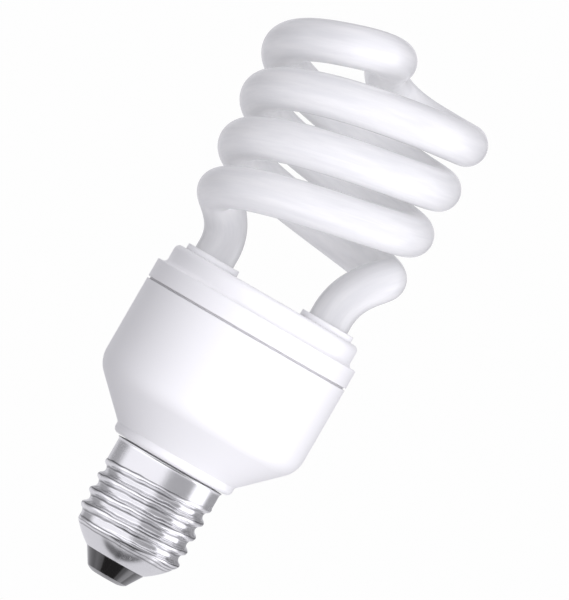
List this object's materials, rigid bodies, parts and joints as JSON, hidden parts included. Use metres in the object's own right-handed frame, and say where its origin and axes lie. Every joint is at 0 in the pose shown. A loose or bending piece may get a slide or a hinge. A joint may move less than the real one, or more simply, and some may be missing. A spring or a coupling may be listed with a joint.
{
  "type": "spiral energy saving bulb",
  "caption": "Compact fluorescent lamp: white double-spiral glass tube on a stepped white body, with a screw cap, black glass and a centre contact below.",
  "frame": {"origin": "middle of the centre contact's end face, where the lamp touches the holder's contact", "axes": "+Z along the lamp's axis from the cap to the glass; the tube's legs stand at -X and +X, a little to +Y and -Y; the picture looks along +Y"},
  "size_m": [0.0559, 0.0586, 0.1372],
  "materials": {
    "tube_glass": "satin white, phosphor behind clear glass",
    "body_plastic": "satin white moulding",
    "cap_metal": "bright rolled sheet",
    "cap_glass": "glossy black",
    "contact_metal": "bright, soldered",
    "cement": "chalky",
    "board": "paper laminate",
    "copper_wire": "enamelled",
    "tinned_wire": "tinned",
    "solder": "bright solder",
    "ferrite": "sintered",
    "coil_former": "moulded",
    "epoxy_black": "moulded resin",
    "capacitor_sleeve": "shrunk sleeve",
    "film_green": "dipped resin",
    "resistor_body": "lacquered",
    "trigger_body": "glazed",
    "thermistor_body": "dipped resin"
  },
  "bodies": {
    "root": {"discharge_tube": "tube_glass", "tube_holder": "body_plastic", "ballast_housing": "body_plastic", "tube_cement_left": "cement", "tube_cement_right": "cement", "cap_shell": "cap_metal", "cap_insulator": "cap_glass", "centre_contact": "contact_metal", "smoothing_capacitor": "capacitor_sleeve", "start_thermistor": "thermistor_body", "fuse_resistor": "resistor_body", "centre_wire": "tinned_wire", "side_wire": "tinned_wire", "high_side_transistor": "epoxy_black", "low_side_transistor": "epoxy_black", "trigger_diode": "trigger_body", "coupling_capacitor": "film_green", "resonant_capacitor": "film_green", "base_resistor_1": "resistor_body", "base_resistor_2": "resistor_body", "start_resistor": "resistor_body", "rectifier_diode_1": "epoxy_black", "rectifier_diode_2": "epoxy_black", "rectifier_diode_3": "epoxy_black", "rectifier_diode_4": "epoxy_black", "choke_core_lower": "ferrite", "choke_core_upper": "ferrite", "choke_bobbin": "coil_former", "choke_winding": "copper_wire", "drive_toroid": "ferrite", "toroid_windings": "copper_wire", "filter_choke_core": "ferrite", "filter_choke_winding": "copper_wire", "component_leads": "tinned_wire", "circuit_board": "board", "solder_joints": "solder", "wrap_post_1": "tinned_wire", "tube_lead_wire_1": "tinned_wire", "wrap_post_2": "tinned_wire", "tube_lead_wire_2": "tinned_wire", "wrap_post_3": "tinned_wire", "tube_lead_wire_3": "tinned_wire", "wrap_post_4": "tinned_wire", "tube_lead_wire_4": "tinned_wire"}
  },
  "joints": []
}
